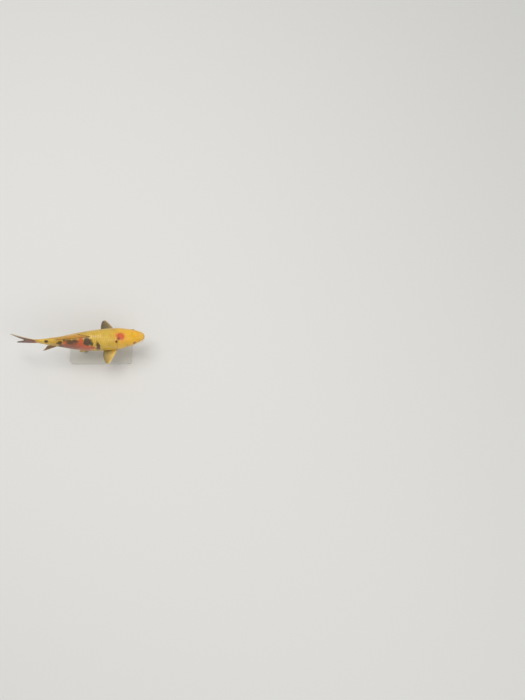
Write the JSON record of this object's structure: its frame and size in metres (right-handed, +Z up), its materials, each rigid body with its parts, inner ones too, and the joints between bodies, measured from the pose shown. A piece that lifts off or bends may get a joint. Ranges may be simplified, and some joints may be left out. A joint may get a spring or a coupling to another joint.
{
  "type": "koi carp",
  "caption": "Yellow koi carp with red and black flank marks, body bowed in a gentle swim, fins spread, held level above a plain stand.",
  "frame": {"origin": "middle of the stand's underside, on the floor", "axes": "+X towards the snout, +Y towards the fish's left side, +Z up"},
  "size_m": [0.4772, 0.166, 0.2154],
  "materials": {
    "koi_skin": "scaled, wet-looking golden yellow skin with red and black patches",
    "koi_fin": "thin rayed fin membrane, yellow at the root and clearer at the edge",
    "koi_eye": "wet dark pupil in a thin golden ring",
    "stand_paint": "fine matt warm grey powder coat",
    "stand_steel": "turned and brushed",
    "stand_pad": "soft matt pad"
  },
  "bodies": {
    "root": {"head": "koi_skin", "gill_cover_left": "koi_skin", "gill_cover_right": "koi_skin", "upper_lip": "koi_skin", "lower_lip": "koi_skin", "barbel_long_left": "koi_skin", "barbel_long_right": "koi_skin", "barbel_short_left": "koi_skin", "barbel_short_right": "koi_skin", "trunk_front": "koi_skin", "trunk_rear": "koi_skin", "tail_stalk": "koi_skin", "dorsal_fin": "koi_fin", "tail_fin": "koi_fin", "anal_fin": "koi_fin", "pelvic_fin_left": "koi_fin", "pelvic_fin_right": "koi_fin", "pectoral_fin_left": "koi_fin", "pectoral_fin_right": "koi_fin", "eye_left": "koi_eye", "eye_right": "koi_eye", "stand_base": "stand_paint", "stand_rod_front": "stand_steel", "stand_rod_rear": "stand_steel", "stand_pad_front": "stand_pad", "stand_pad_rear": "stand_pad"}
  },
  "joints": []
}
